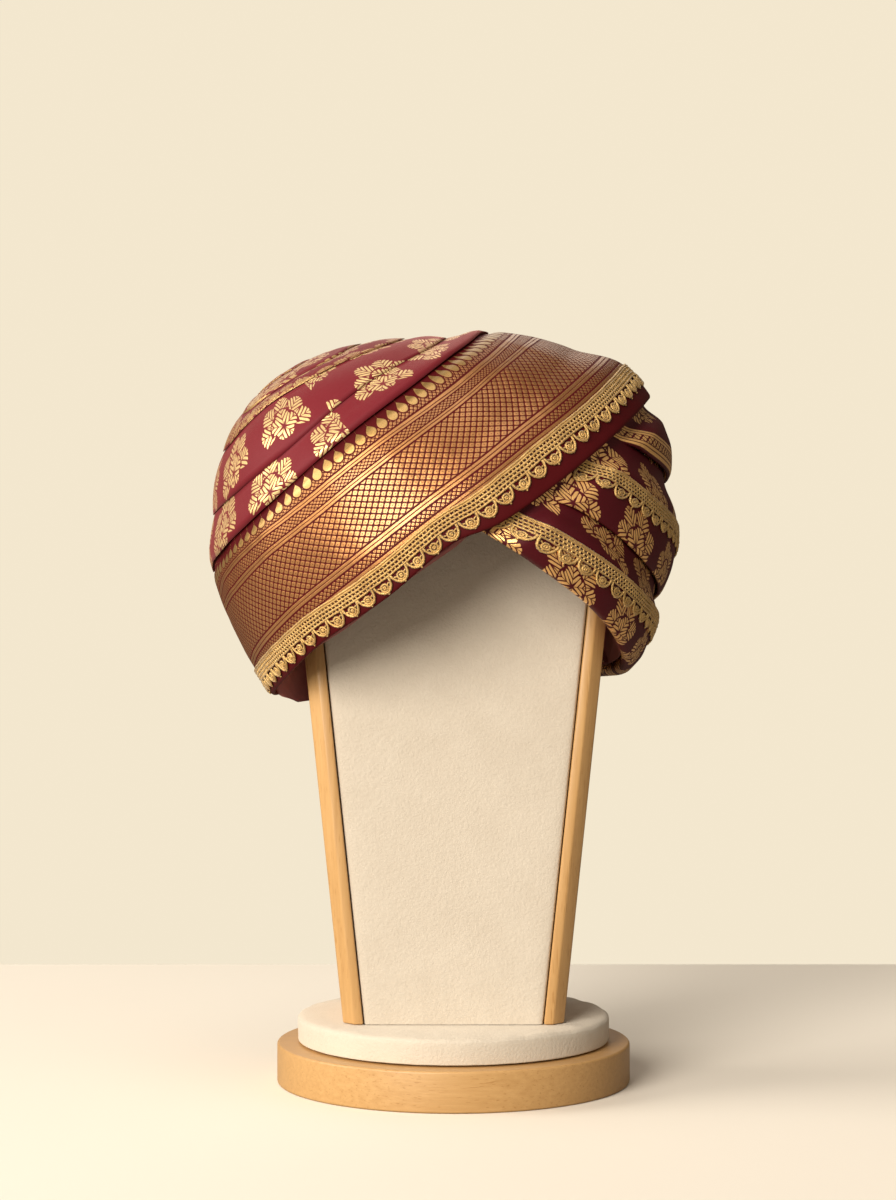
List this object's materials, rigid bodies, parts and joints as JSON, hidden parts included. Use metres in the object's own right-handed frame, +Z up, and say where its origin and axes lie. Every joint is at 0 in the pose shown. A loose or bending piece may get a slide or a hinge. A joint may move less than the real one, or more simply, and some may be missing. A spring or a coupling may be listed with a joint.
{
  "type": "tied turban on a display stand",
  "caption": "Wound silk turban with a pleated crown, a broad gold-woven front band and lace-edged side folds, held up by a tapering padded post on a round padded base.",
  "frame": {"origin": "centre of the base's flat underside", "axes": "+Z up, the front of the turban faces -Y, +X to the right when it is seen from the front"},
  "size_m": [0.2354, 0.2521, 0.3746],
  "materials": {
    "silk": "maroon silk brocade with woven gold flowers, soft sheen",
    "zari": "gold-thread lattice and stripes woven on maroon silk",
    "lace": "crocheted gold-thread lace, scalloped",
    "suede": "cream suede cloth, matt",
    "wood": "pale wood, satin varnish"
  },
  "bodies": {
    "root": {"crown": "silk", "front_band": "zari", "front_lace": "lace", "wrap_lower": "silk", "wrap_upper": "silk", "wrap_top": "silk", "lace_lower": "lace", "lace_upper": "lace", "post_panel": "suede", "rail_left": "wood", "rail_right": "wood", "base_pad": "suede", "base_disc": "wood"}
  },
  "joints": []
}
